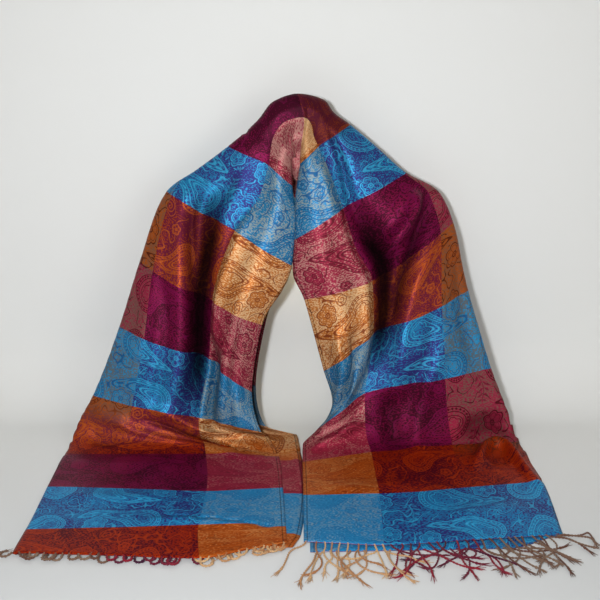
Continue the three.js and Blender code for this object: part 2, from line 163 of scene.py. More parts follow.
# along, then across at the edge that shows, at the crease and at the outer fold, half thickness of that
# fold, how far the cloth swells forward on each side of the crease, and how far "forward" leans up from
# level, in degrees
FOLDS = [
    (-958, 0, 110, 350, 0.95, 0, 0, 90),
    (-672, 0, 110, 345, 0.95, 0, 0, 90),
    (-640, 0, 110, 342, 1.5, 1, 3, 75),
    (-600, 0, 110, 330, 4, 3, 8, 40),
    (-560, 0, 110, 315, 6, 8, 14, 15),
    (-448, 0, 110, 290, 8, 18, 20, 5),
    (-336, 0, 110, 268, 8, 20, 20, 0),
    (-224, 14, 110, 245, 8, 14, 12, 0),
    (-168, 44, 110, 225, 8, 12, 8, 0),
    (-112, 64, 112, 202, 8, 10, 6, 0),
    (-64, 67, 105, 170, 8, 8, 4, 0),
    (-36, 69, 103, 159, 8, 8, 5, 0),
    (0, 70, 106, 151, 8, 8, 3, 0),
    (40, 78, 112, 170, 8, 8, 5, 0),
    (64, 79, 112, 180, 8, 8, 4, 0),
    (112, 77, 113, 203, 8, 9, 6, 0),
    (168, 51, 112, 222, 8, 12, 8, 0),
    (224, 22, 110, 235, 8, 14, 10, 0),
    (280, 4, 110, 248, 8, 16, 14, 0),
    (336, 0, 110, 262, 8, 16, 18, 0),
    (448, 0, 110, 290, 8, 18, 22, 5),
    (504, 0, 110, 303, 7, 18, 22, 10),
    (560, 0, 110, 315, 6, 12, 20, 20),
    (600, 0, 110, 325, 4, 6, 14, 40),
    (640, 0, 110, 335, 2, 1, 8, 70),
    (672, 0, 110, 342, 0.95, 0, 3, 90),
    (784, 0, 110, 350, 0.95, 0, 0, 90),
    (896, 0, 110, 350, 0.95, 0, 0, 90),
]
print("sections:", len(LINES), "and", len(FOLDS), "sheet:", CLOTH_WIDTH, "x", RIGHT_END - LEFT_END, "mm")

# %% [markdown]
# The back layer is longer than the space it hangs in, so it runs in pleats. A sine-generated curve, whose
# heading swings evenly from side to side, keeps its length exactly. How far it swings is looked up from the
# space it has.

# %% The pleats' curve
PLEATS = (0.15, 0.24, 0.18, 0.13, 0.3)  # shares of the back layer that its soft pleats take up
MEANDER_STEPS = 300
WIDEST_SWING = 2.1  # radians
SWING_STEPS = 60
swings = np.linspace(0, WIDEST_SWING, SWING_STEPS)
meander_phase = (np.arange(MEANDER_STEPS) + 0.5) / MEANDER_STEPS
pleat_ends = np.concatenate([[0], np.cumsum(PLEATS)])
pleat_phase = np.interp(meander_phase, pleat_ends / pleat_ends[-1], np.arange(len(PLEATS) + 1))
swing_spans = np.array([np.cos(s * np.sin(2 * np.pi * pleat_phase)).mean() for s in swings])


def meander(span_share):
    """Reach and depth, as shares of its length, of the pleated line that spans this share of its length."""
    swing = np.interp(-span_share, -swing_spans, swings)
    heading = swing * np.sin(2 * np.pi * pleat_phase)
    reach = np.concatenate([[0], np.cumsum(np.cos(heading))]) / MEANDER_STEPS
    depth = np.concatenate([[0], np.cumsum(np.sin(heading))]) / MEANDER_STEPS
    return reach, depth


print("the tightest pleats span", swing_spans[-1].round(2), "of their length")

# %% [markdown]
# A section across the folded cloth is one line of known length, in four stretches: the selvedge turned
# under at the neck, the front layer, the outer fold, and the back layer.

# %% One section of cloth
TUCK_RADIUS = 3.5  # of the selvedge, where it turns under
HANGING_REACH = 0.74  # of each length of the selvedge that hangs down inside the neck, how much goes down
HANGING_WAVE = 2  # mm by which it sways
HANGING_SWAY = 9  # mm of it for each radian of the sway
HANGING_MIDDLE = -6  # where along the cloth it hangs, and how far from there it hangs or is folded under
HANGING_TO = 14
FOLDED_FROM = 58
FRONT_KNOTS = np.array([0, 0.22, 0.42, 0.7, 1])  # edge, lapel, crease, belly, start of the outer fold
BELLY_SHARE = 0.48  # where the belly is, on the way from the crease to the outer fold
LYING_LEAN = 80  # degrees, past which a section lies on the floor
LIFTED_FROM = 20  # mm from the far selvedge, where it starts to rise to its own height
LIFTED_TO = 10


def unit(vector):
    return vector / np.linalg.norm(vector)


def section(along, across, lines, folds):
    """The places of one row of the cloth, for each length across."""
    edge, crease, outer, far = lines
    edge_at, crease_at, fold_at, fold, lapel, belly, lean = folds
    tilt = math.radians(min(max(lean, 0), 90))
    forward = np.array([0, -math.cos(tilt), math.sin(tilt)])
    quarter = math.pi / 2 * fold
    inward = unit(crease - outer)
    start = outer + inward * fold + forward * fold
    places = np.zeros((len(across), 3))
    # the front layer
    lapel_place = (edge + crease) / 2 + forward * lapel
    belly_place = (start + crease) / 2 + forward * belly
    knots = np.array([edge, lapel_place, crease, belly_place, start])
    front_end = fold_at - quarter
    belly_at = crease_at + BELLY_SHARE * (front_end - crease_at)
    at_knots = [edge_at, (edge_at + crease_at) / 2, crease_at, belly_at, front_end]
    front = (across >= edge_at) & (across <= front_end)
    places[front] = through(FRONT_KNOTS, knots, through(at_knots, FRONT_KNOTS, across[front]))
    # the selvedge at the neck: folded back under each front, but hanging down inside between them
    under = across < edge_at
    back_from_edge = edge_at - across[under]
    turn = np.minimum(back_from_edge / TUCK_RADIUS, math.pi)
    straight = np.maximum(back_from_edge - math.pi * TUCK_RADIUS, 0)
    at_straight = through(at_knots, FRONT_KNOTS, np.minimum(edge_at + straight, front_end))
    folded = through(FRONT_KNOTS, knots, at_straight)
    folded = folded - np.outer(np.sin(turn) * TUCK_RADIUS, unit(knots[1] - edge))
    folded = folded - np.outer((1 - np.cos(turn)) * TUCK_RADIUS, forward)
    hanging = edge + np.outer(back_from_edge * HANGING_REACH, [0, 0, -1])
    hanging[:, 1] += HANGING_WAVE * np.sin(back_from_edge / HANGING_SWAY)
    folded_share = smooth(abs(along - HANGING_MIDDLE), HANGING_TO, FOLDED_FROM)
    places[under] = folded * folded_share + hanging * (1 - folded_share)
    # the outer fold
    round_it = (across > front_end) & (across < fold_at + quarter)
    angle = (fold_at - across[round_it]) / fold
    heading = unit(far - outer)
    turned = smooth(across[round_it], front_end, fold_at + quarter)[:, None]
    direction = inward * (1 - turned) + heading * turned
    out_to_it = direction * (fold * (1 - np.cos(angle)))[:, None]
    places[round_it] = outer + out_to_it + np.outer(np.sin(angle) * fold, forward)
    # the back layer, in its pleats
    back = across >= fold_at + quarter
    behind = outer + heading * fold - forward * fold
    chord = far - behind
    length = CLOTH_WIDTH - fold_at - quarter
    reach, depth = meander(min(1, np.linalg.norm(chord) / length))
    share = (across[back] - fold_at - quarter) / length
    steps = np.linspace(0, 1, MEANDER_STEPS + 1)
    reached = np.interp(share, steps, reach) / reach[-1]
    stood = np.interp(share, steps, depth) * length * math.cos(tilt)
    places[back] = behind + np.outer(reached, chord) - np.outer(stood, forward)
    if lean > LYING_LEAN and far[2] > UNDER + 0.1:
        lifted = UNDER + outer[2] - ROUND
        at_far_edge = smooth(CLOTH_WIDTH - across[back], LIFTED_FROM, LIFTED_TO)
        places[back, 2] = lifted + (far[2] - lifted) * at_far_edge
    return places


print("the front layer's knots:", len(FRONT_KNOTS))

# %% [markdown]
# Cloth is never as regular as its sections. The creases below are placed on the flat cloth, each along its
# own path: some run down the shawl, as the folds from the shoulders do, and some run across it, where it
# bends at the floor. Each is a soft trough or ridge that fades out at both ends.

# %% The creases
# how far each stands forward (or sinks, if negative), how wide it is on its lower and on its higher side,
# and its path as (along, across) points
DOWN_CREASES = [
    # left front: the lapel's roll and the deep valley beside it, then the folds that fall from the shoulder
    (9, 16, 6, [(-190, 104), (-250, 102), (-340, 100), (-430, 98)]),
    (-31, 8, 24, [(-170, 160), (-205, 154), (-251, 137), (-322, 126), (-397, 124), (-470, 122), (-560, 120)]),
    (-13, 14, 9, [(-400, 102), (-470, 96), (-540, 92), (-590, 90)]),
    (-14, 9, 11, [(-205, 194), (-235, 187), (-270, 168), (-305, 150), (-330, 142)]),
    (9, 10, 10, [(-196, 178), (-240, 162), (-275, 152), (-310, 146)]),
    (8, 14, 20, [(-262, 196), (-308, 176), (-413, 156), (-497, 154), (-560, 158)]),
    (-5, 14, 14, [(-330, 206), (-413, 190), (-500, 186), (-570, 192)]),
    (4, 12, 18, [(-240, 226), (-330, 230), (-420, 236), (-520, 246)]),
    (-4, 10, 12, [(-330, 40), (-430, 46), (-520, 52), (-600, 60)]),
    (4, 10, 10, [(-380, 70), (-470, 74), (-560, 80)]),
    # right front
    (8, 15, 6, [(150, 102), (220, 100), (300, 100), (404, 98), (500, 94)]),
    (-8, 7, 9, [(96, 150), (139, 142), (209, 126), (250, 120)]),
    (-33, 7, 20, [(235, 128), (270, 128), (300, 128), (335, 124), (404, 122), (454, 118), (510, 112)]),
    (20, 12, 10, [(252, 212), (266, 206), (281, 196), (296, 172), (308, 150), (322, 138)]),
    (-22, 9, 13, [(276, 222), (292, 210), (306, 196), (326, 176), (350, 157), (400, 144), (455, 138)]),
    (8, 12, 16, [(325, 218), (409, 174), (480, 162), (560, 166)]),
    (-5, 14, 14, [(420, 214), (500, 204), (580, 180), (640, 172)]),
    (5, 12, 12, [(500, 236), (580, 196), (650, 182), (700, 178)]),
    (-11, 13, 16, [(570, 146), (610, 148), (640, 148), (670, 144)]),
    (-4, 12, 14, [(380, 262), (460, 266), (560, 282)]),
    (8, 16, 7, [(400, 40), (459, 40), (508, 10), (530, 2)]),
    (-9, 7, 14, [(410, 66), (459, 64), (500, 38), (540, 22)]),
    (3, 6, 6, [(130, 106), (180, 97), (240, 84)]),
    # a soft kink in the left of the collar
    (-3, 5, 12, [(-88, 168), (-84, 146), (-80, 116)]),
    # the back, in folds of its own between the pleats
    (6, 16, 22, [(-420, 380), (-300, 372), (-150, 352), (-40, 330)]),
    (-7, 14, 18, [(-520, 470), (-380, 452), (-240, 440), (-120, 430)]),
    (6, 18, 14, [(-560, 560), (-430, 548), (-280, 530)]),
    (-6, 16, 20, [(60, 352), (180, 372), (330, 398), (460, 410)]),
    (7, 15, 20, [(120, 470), (260, 462), (400, 470), (540, 492)]),
    (-5, 18, 14, [(240, 590), (380, 570), (520, 560)]),
]
CROSS_CREASES = [
    # the pleat where the right side of the collar lies over the left
    (4, 2.5, 22, [(14, 84), (10, 104), (10, 126), (14, 150)]),
    # the pleat inside the neck, on its left
    (7, 14, 2.5, [(-42, 34), (-39, 60), (-35, 84), (-30, 100)]),
    # the left tail buckles just above the floor: it bulges out, and folds under itself
    (9, 11, 15, [(-618, 2), (-614, 50), (-594, 100), (-568, 150), (-558, 200)]),
    (-12, 4.5, 5.5, [(-664, 2), (-657, 40), (-641, 80), (-617, 112), (-596, 160), (-586, 200)]),
    (-25, 3, 3.4, [(-669, -30), (-667, 10), (-659, 45), (-644, 80), (-620, 116), (-606, 140)]),
    (4, 8, 10, [(-686, 20), (-680, 50), (-662, 90), (-640, 140), (-616, 210), (-598, 262)]),
    (6, 12, 16, [(-602, 226), (-594, 250), (-588, 280), (-586, 306)]),
    (-5, 10, 12, [(-640, 252), (-634, 280), (-626, 306)]),
    # the step across its blue band, and softer ones
    (4.5, 14, 1.8, [(-902, 20), (-890, 60), (-880, 110), (-874, 150), (-876, 186)]),
    (-14, 1.6, 1.6, [(-897, 20), (-885, 60), (-875, 110), (-869, 150)]),
    (3, 18, 22, [(-700, 180), (-706, 260), (-700, 340)]),
    (3, 16, 20, [(-806, 150), (-812, 240), (-806, 330)]),
    # the right tail: the roll where it meets the floor, and the buckle at its outer edge
    (7, 10, 12, [(628, 12), (618, 50), (606, 86), (598, 120)]),
    (-14, 13, 13, [(648, 250), (640, 274), (638, 304), (650, 332)]),
    (-6, 18, 12, [(722, 282), (718, 297), (724, 312)]),
    (17, 7, 7, [
        (734, 252), (712, 266), (690, 280), (679, 297), (687, 311), (712, 322), (750, 332), (782, 343),
    ]),
    (4, 14, 16, [(760, 30), (768, 100), (764, 170)]),
    (3, 16, 18, [(846, 190), (840, 260), (848, 330)]),
]
CREASE_FADE = 0.28  # share of a crease's length over which each of its ends fades
FADE_PAST_END = 0.4  # how much of that is past the end


def crease_height(along, across):
    """How far all creases together move each place of the cloth, and how deep it lies in one, for its painted
    shade, in mm.
    """
    total = np.zeros(np.broadcast(along, across).shape)
    shade_depth = np.zeros_like(total)
    for creases, run, side, order in ((DOWN_CREASES, along, across, 1), (CROSS_CREASES, across, along, -1)):
        for height, lower, higher, path in creases:
            points = sorted(point[::order] for point in path)
            at = np.array([point[0] for point in points], float)
            middle = np.array([point[1] for point in points], float)
            fade = (at[-1] - at[0]) * CREASE_FADE
            strength = smooth(run, at[0] - fade * FADE_PAST_END, at[0] + fade)
            strength *= smooth(-run, -at[-1] - fade * FADE_PAST_END, -at[-1] + fade)
            held = np.clip(run, at[0] + 1, at[-1] - 1).ravel()
            away = side - through(at, middle, held).reshape(run.shape)
            slope = (through(at, middle, held + 1) - through(at, middle, held - 1)).reshape(run.shape) / 2
            away = away / np.sqrt(1 + slope**2)
            bulge = height * strength * np.exp(-((away / np.where(away < 0, lower, higher)) ** 2))
            total = total + bulge
            shade_depth = np.maximum(shade_depth, -bulge)
    return total, shade_depth


print("creases:", len(DOWN_CREASES) + len(CROSS_CREASES))

# %% [markdown]
# Now the sheet itself: a grid of places, one row for each step along the cloth. The steps are short where
# creases lie close together. The front layer is eased first, inside its edges, because its own knots would
# show as ridges.

# %% The grid
# along and across: a place, and the step from there to the next one
ROW_STEPS = [
    (LEFT_END, 6.3), (-690, 4), (-540, 6.3), (-90, 5), (90, 6.3), (570, 4), (700, 6.3), (RIGHT_END, 6.3),
]
COLUMN_STEPS = [(0, 3.6), (270, 5), (360, 9), (CLOTH_WIDTH, 9)]
EASING_PASSES = 16
EASED_FROM_EDGE = (6, 22)  # mm over which the easing sets in, from the edge and from the outer fold
EASED_FROM_FOLD = (30, 46)


def graded(steps):
    """Numbers from the first to the last place in a table, spaced by its steps."""
    pieces = [
        np.linspace(start, end, round((end - start) / step), endpoint=False)
        for (start, step), (end, _) in zip(steps, steps[1:])
    ]
    return np.concatenate(pieces + [[steps[-1][0]]])


alongs = graded(ROW_STEPS)
acrosses = graded(COLUMN_STEPS)
line_values = np.array([[(x, y, z + row[5]) for x, y, z in row[1:5]] for row in LINES], float)
lines_at = through([row[0] for row in LINES], line_values, alongs)
folds_at = through([row[0] for row in FOLDS], np.array([row[1:] for row in FOLDS], float), alongs)
rows = zip(alongs, lines_at, folds_at)
surface = np.array([section(along, acrosses, lines, folds) for along, lines, folds in rows])
grid_along, grid_across = np.meshgrid(alongs, acrosses, indexing="ij")
fold_line = folds_at[:, 2][:, None]
lying = smooth(folds_at[:, 6], 60, 85)[:, None]  # by how far forward leans up, in degrees
in_back = grid_across > fold_line
edge_line = folds_at[:, 0][:, None]
eased_share = smooth(grid_across, EASED_FROM_EDGE[0] + edge_line, EASED_FROM_EDGE[1] + edge_line)
eased_share *= smooth(-grid_across, EASED_FROM_FOLD[0] - fold_line, EASED_FROM_FOLD[1] - fold_line)
eased_share = eased_share[:, 1:-1, None]
for _ in range(EASING_PASSES):
    eased = (surface[:, :-2] + 2 * surface[:, 1:-1] + surface[:, 2:]) / 4
    surface[:, 1:-1] = surface[:, 1:-1] + (eased - surface[:, 1:-1]) * eased_share
print("rows and columns:", surface.shape[:2])

# %% [markdown]
# The creases are added along the surface's own normals. On the floor only the front layer has them, because
# the back one lies flat under it. Behind, the deepest pleats are squeezed flatter.

# %% The creases on the sheet
ROOM_BEHIND = 44  # mm, from where on the back's pleats are squeezed, and the room that they are squeezed into
SQUEEZE = 14


def grid_normals(places):
    """Normals of a grid of places, on the side that faces forward on the front layer."""
    lengthwise = np.gradient(places, axis=0)
    crosswise = np.gradient(places, axis=1)
    normal = np.cross(lengthwise, crosswise)
    return normal / np.maximum(np.linalg.norm(normal, axis=2, keepdims=True), 1e-9)


height, shade_depth = crease_height(grid_along, grid_across)
height = height * np.where(in_back, 1 - lying, 1)
surface = surface + grid_normals(surface) * height[:, :, None]
surface[:, :, 2] = np.maximum(surface[:, :, 2], FLOOR + CLOTH / 2)
surface[:, :, 1] = crowded(surface[:, :, 1], ROOM_BEHIND, SQUEEZE)
print("highest crease:", height.max().round(1), "mm, deepest:", shade_depth.max().round(1), "mm")

# %% [markdown]
# Two layers of cloth can't share a place. On the floor the front layer rests on the back one, so the back
# one follows it at the thickness of a cloth. It has the shorter way over the hanger, so its hem lies
# further out on the right tail. Where the cloth hangs, a valley of the front pushes the back layer further
# back. A search tree finds the places of the front layer that are nearest to each place of the back one.

# %% The two layers, kept apart
LAYERS_APART = 1.9
HANGING_APART = 3
FOLD_BAND = 17  # mm on each side of the outer fold, where the layers are one bend
NEIGHBOURS_LYING = 5
NEIGHBOURS_HANGING = 6
NEIGHBOUR_MARGIN = 5  # mm further away than the nearest neighbour, past which one isn't counted
OVERLAP = (-9, -5)  # minus the mm to the nearest neighbour: not covered by the front layer, and fully covered
FURTHER_OUT = 26  # mm by which the right tail's back layer reaches past the front one


def tree_of(places):
    """A search tree over places that are given by two of their coordinates."""
    tree = kdtree.KDTree(len(places))
    for number, place in enumerate(places):
        tree.insert((place[0], place[1], 0), number)
    tree.balance()
    return tree


# from just past the outer fold, and from where the right tail lies down
reach_out = smooth(grid_across, 352, 430) * smooth(grid_along, 620, RIGHT_END)
surface[:, :, 1] -= FURTHER_OUT * reach_out
front_places = surface[~in_back & (lying > 0.02)]
front_tree = tree_of(front_places[:, :2])
for i, j in np.argwhere(in_back & (lying > 0.02)):
    x, y, z = surface[i, j]
    found = front_tree.find_n((x, y, 0), NEIGHBOURS_LYING)
    nearest = found[0][2]
    lowest = min(front_places[number][2] for _, number, away in found if away < nearest + NEIGHBOUR_MARGIN)
    under = max(lowest - LAYERS_APART, FLOOR + CLOTH / 2)
    surface[i, j, 2] = z + (under - z) * smooth(-nearest, *OVERLAP)
front_places = surface[(grid_across < fold_line - FOLD_BAND) & (lying < 0.5)]
front_tree = tree_of(front_places[:, [0, 2]])
for i, j in np.argwhere((grid_across > fold_line + FOLD_BAND) & (lying < 0.5)):
    x, y, z = surface[i, j]
    found = front_tree.find_n((x, z, 0), NEIGHBOURS_HANGING)
    deepest = max(front_places[number][1] for _, number, _ in found)
    surface[i, j, 1] = y + max(deepest + HANGING_APART - y, 0) * smooth(-found[0][2], *OVERLAP)
print("front places that hang:", len(front_places))

# %% [markdown]
# The grid becomes a mesh of quads. Its UV map is the flat cloth in metres, so every pattern keeps its woven
# size, and an attribute says how deep each place lies in a crease, where little light gets in, for the
# painted shade there. Solidify gives the cloth its thickness.

# %% The sheet
SELVEDGE_IN_SHADE = 22  # mm of crease depth whose painted shade is given to the left back layer's edge, where it shows past the front one
FULL_SHADE_DEPTH = 28  # mm deep, where hardly any light gets in and the painted shade is darkest


def mesh_piece(name, vertices, quads, uvs):
    """A smooth piece from vertices, quads, and a place on the flat cloth for each vertex, in mm."""
    mesh = bpy.data.meshes.new(name)
    mesh.from_pydata((vertices * MM).tolist(), [], quads.tolist())
    layer = mesh.uv_layers.new(name="woven")
    layer.data.foreach_set("uv", (uvs[quads.ravel()] * MM).ravel())
    mesh.shade_smooth()
    piece = bpy.data.objects.new(name, mesh)
    bpy.context.scene.collection.objects.link(piece)
    return piece


index = np.arange(grid_across.size).reshape(grid_across.shape)
corners = [index[:-1, :-1], index[:-1, 1:], index[1:, 1:], index[1:, :-1]]
sheet_quads = np.stack(corners, axis=-1).reshape(-1, 4)
flat_places = np.stack([grid_across, grid_along], axis=-1).reshape(-1, 2)
shawl = mesh_piece("shawl", surface.reshape(-1, 3), sheet_quads, flat_places)
# painted shade on the left back layer's selvedge, where it shows past the front one
beside_selvedge = smooth(grid_across, CLOTH_WIDTH - 60, CLOTH_WIDTH - 20) * smooth(-grid_along, 120, 200)
beside_selvedge *= smooth(grid_along, -580, -520)
shade_depth = np.maximum(shade_depth, SELVEDGE_IN_SHADE * beside_selvedge * (1 - lying))
shaded = shawl.data.attributes.new("shade_depth", "FLOAT", "POINT")
shaded.data.foreach_set("value", np.clip(shade_depth / FULL_SHADE_DEPTH, 0, 1).ravel())
thickening = shawl.modifiers.new("thickness", "SOLIDIFY")
thickening.thickness = CLOTH * MM
thickening.offset = 0
thickening.use_even_offset = False
thickening.use_rim = True
bpy.context.view_layer.objects.active = shawl
bpy.ops.object.modifier_apply(modifier=thickening.name)
print("shawl faces:", len(shawl.data.polygons))

# %% [markdown]
# The weave is a jacquard: warp threads run along the shawl in beige, purple and brown-grey stripes, weft
# threads cross them in orange, blue and magenta bands, and the loom lifts one or the other to draw the
# figures. So each spot has one of three looks: ground, where the warp shows, fill, where the weft shows,
# and line, which draws the outlines, dark on the light stripes and bright on the purple one. The figures
# are worked out by arithmetic on the flat cloth's own millimetres, so they follow every fold. A small class
# lets that arithmetic read as formulas, while one function adds every node.


# %% Material helpers
def linear(hex_colour):
    """An sRGB hex colour as the linear colour that shaders take."""
    parts = [int(hex_colour[i : i + 2], 16) / 255 for i in (1, 3, 5)]
    return tuple(p / 12.92 if p <= 0.04045 else ((p + 0.055) / 1.055) ** 2.4 for p in parts) + (1,)


def new_material(name):
    """A material with nodes, as itself, its tree and its main shader."""
    material = bpy.data.materials.new(name)
    material.use_nodes = True
    return material, material.node_tree, material.node_tree.nodes["Principled BSDF"]


def fill_inputs(tree, node, inputs):
    """Fills a node's inputs, by name or number, with fields, sockets or constants."""
    for key, value in inputs.items():
        value = value.socket if isinstance(value, Field) else value
        if isinstance(value, bpy.types.NodeSocket):
            tree.links.new(value, node.inputs[key])
        else:
            node.inputs[key].default_value = value


def add_node(tree, kind, inputs=(), **settings):
    """Adds a node, sets its properties and fills its inputs."""
    node = tree.nodes.new(kind)
    for key, value in settings.items():
        setattr(node, key, value)
    fill_inputs(tree, node, dict(inputs))
    return node


class Field:
    """A number with a value at each point of a surface. Arithmetic on it adds the nodes that work it out."""

    def __init__(self, tree, socket):
        self.tree = tree
        self.socket = socket

    def math(self, operation, *others):
        inputs = dict(enumerate((self, *others)))
        return Field(self.tree, add_node(self.tree, "ShaderNodeMath", inputs, operation=operation).outputs[0])

    def __add__(self, other):
        return self.math("ADD", other)

    def __sub__(self, other):
        return self.math("SUBTRACT", other)

    def __mul__(self, other):
        return self.math("MULTIPLY", other)

    def __truediv__(self, other):
        return self.math("DIVIDE", other)

    def __abs__(self):
        return self.math("ABSOLUTE")

    def __or__(self, other):
        """The greater of the two."""
        return self.math("MAXIMUM", other)

    def outside(self):
        """1 where it is 0, and 0 where it is 1."""
        return self * -1 + 1

    def sine(self):
        return self.math("SINE")

    def modulo(self, period):
        return self.math("FLOORED_MODULO", period)

    def below(self, limit, softness=0.5):
        """1 where it is under the limit, 0 where it is over, with a soft edge this wide."""
        inputs = {"Value": self, "From Min": limit + softness / 2, "From Max": limit - softness / 2}
        node = add_node(self.tree, "ShaderNodeMapRange", inputs, interpolation_type="SMOOTHSTEP")
        return Field(self.tree, node.outputs["Result"])

    def above(self, limit, softness):
        """0 where it is under the limit, 1 where it is over, with a soft edge this wide."""
        return (self * -1).below(-limit, softness)


def woven_place(tree):
    """The place on the flat cloth in millimetres, as a vector and as its lengths across and along."""
    uv = add_node(tree, "ShaderNodeUVMap", uv_map="woven").outputs["UV"]
    in_mm = {0: uv, 1: (1 / MM, 1 / MM, 0)}
    place = add_node(tree, "ShaderNodeVectorMath", in_mm, operation="MULTIPLY").outputs[0]
    axes = add_node(tree, "ShaderNodeSeparateXYZ", {0: place}).outputs
    return place, Field(tree, axes[0]), Field(tree, axes[1])


def noise(tree, place, size, detail=0, squash=(1, 1, 1)):
    """A soft noise in patches of this size, from 0 to 1, in two dimensions."""
    scaled = add_node(tree, "ShaderNodeVectorMath", {0: place, 1: squash}, operation="MULTIPLY").outputs[0]
    inputs = {"Vector": scaled, "Scale": 1 / size, "Detail": detail}
    return Field(tree, add_node(tree, "ShaderNodeTexNoise", inputs, noise_dimensions="2D").outputs[0])


def mix(tree, share, first, second):
    """The colour that goes from the first to the second as share goes from 0 to 1."""
    return add_node(tree, "ShaderNodeMix", {0: share, 6: first, 7: second}, data_type="RGBA").outputs[2]


print("half of the way up in sRGB, as linear:", round(linear("#808080")[0], 3))

# %% [markdown]
# Each figure is a little field of distances. The paisley is a teardrop: a radius that grows towards one
# direction, bent over at the tip. Its nested outlines are the same drop at smaller scales, and a beaded rim
# runs between two of them. The blossom is a circle whose edge waves once for each petal. The spray is one
# slanted leaf mirrored across its stem and repeated along it, smaller towards the tip, and the curl is a
# spiral.

# %% Figures of the weave
LINE = 1.5  # mm, the thinnest line that the loom draws here
# sizes inside a figure are shares of its own radius, and those of lines are shares of LINE


def placed(u, v, centre, turn):
    """The two coordinates of a figure's own frame, from its centre and its turn in degrees."""
    cosine, sine = math.cos(math.radians(turn)), math.sin(math.radians(turn))
    x, y = u - centre[0], v - centre[1]
    return x * cosine + y * sine, y * cosine - x * sine


def polar(x, y):
    return (x * x + y * y + 0.01).math("SQRT"), x.math("ARCTAN2", y)


def paisley(u, v, centre, turn, size, bend):
    """Inside, fill and line of a paisley with a bulb of this radius, its tip towards its own +y."""
    x, y = placed(u, v, centre, turn)
    lean = y | 0
    x = x - lean * lean * (bend / size)
    radius, angle = polar(x, y)
    towards_tip = (y / radius) * 0.5 + 0.5
    reach = (towards_tip.math("POWER", 6) * -0.6 + 1).math("POWER", -1) * size
    ring = radius / reach
    scallops = (angle * 20).sine() * 0.04
    inside = ring.below(1.3, 0.04)
    halo = (abs(ring - scallops - 1.15) * size).below(LINE * 0.5)
    body = ring.below(1.03, 0.05)
    beads = (abs(ring - 0.86) * size + abs((angle * 13).sine()) * 1.9).below(2, 0.9)
    rings = (abs(ring - 0.98) * size).below(LINE * 0.45) | (abs(ring - 0.73) * size).below(LINE * 0.45)
    petals = ring + abs((angle * 2.5).math("COSINE")) * -0.12
    inner = (abs(petals - 0.3) * size).below(LINE * 0.45) | (abs(ring - 0.52) * size).below(LINE * 0.4)
    line = (rings | beads | inner) * body
    return inside, body | halo, line


def blossom(u, v, centre, size, petals):
    """Inside, fill and line of a round flower of this radius."""
    x, y = u - centre[0], v - centre[1]
    radius, angle = polar(x, y)
    wave = abs((angle * (petals / 2)).math("COSINE"))
    edge = radius + wave * (-size * 0.2)
    outline = abs(edge - size * 0.74).below(LINE * 0.55)
    between = (wave * radius * 0.9).below(LINE * 0.45) * radius.below(size * 0.72, 1)
    rim = abs(edge - size * 0.55).below(LINE * 0.35) * 0.7
    eye = abs(radius - size * 0.2).below(LINE * 0.5)
    return edge.below(size * 0.95, 1), edge.below(size * 0.76), outline | between | rim | eye


def spray(u, v, centre, turn, length, leaf):
    """The figure of a leafy stem: pairs of slanted leaves, smaller towards the tip at its own +y."""
    x, y = placed(u, v, centre, turn)
    x = x + (y * (2 * math.pi / length)).sine() * (leaf * 0.5)
    taper = (y * (-0.6 / length) + 0.75) | 0.2
    side = abs(x) / taper - leaf * 0.62
    step = (y - abs(x) * 0.7).modulo(leaf) - leaf / 2
    leaves = ((side * side * 0.2 + step * step) + 0.01).math("SQRT").below(leaf * 0.2, 0.8)
    stem = abs(x).below(LINE * 0.4)
    return (leaves | stem) * (abs(y) - length / 2).below(0, 1)


def curl(u, v, centre, turn, size, way):
    """A spiral line that unrolls from its eye."""
    radius, angle = polar(*placed(u, v, centre, turn))
    arms = (radius / (size * 0.42) + angle * (way / (2 * math.pi))).math("FRACT")
    return (abs(arms - 0.5) * (size * 0.42)).below(LINE * 0.45) * radius.below(size, 1)


print("thinnest line:", LINE, "mm")

# %% [markdown]
# One repeat of the pattern is 140 by 168 mm. Every other column of repeats is dropped by half, every other
# row is turned to face the other way, and a slow wander bends them all a little, so the eye finds no grid.
# What the big figures leave free is filled with vines: the level lines of a soft noise wander and close on
# themselves as tendrils, and dots of another pattern are their leaflets.

# %% One repeat
REPEAT = (140, 168)
WANDER = 14
# centre, turn and size of each paisley; centre, size and petals of each blossom; centre, turn, length and
# leaf of each spray; centre, turn, size and way round of each curl
PAISLEYS = [((-24, 46), -36, 27), ((36, 126), 152, 22)]
PAISLEY_BEND = 0.4
BLOSSOMS = [((44, 36), 19, 6), ((-42, 132), 17, 6), ((2, 156), 9, 5)]
SPRAYS = [((16, 86), 8, 80, 9.5), ((-58, 92), -12, 66, 9), ((60, 84), 14, 60, 8)]
CURLS = [((-12, 106), 40, 11, 1), ((14, 14), 200, 12, -1)]
LEAFLET_CELL = 8


def most(fields):
    """The greatest of several fields at each point."""
    first, *others = fields
    for other in others:
        first = first | other
    return first


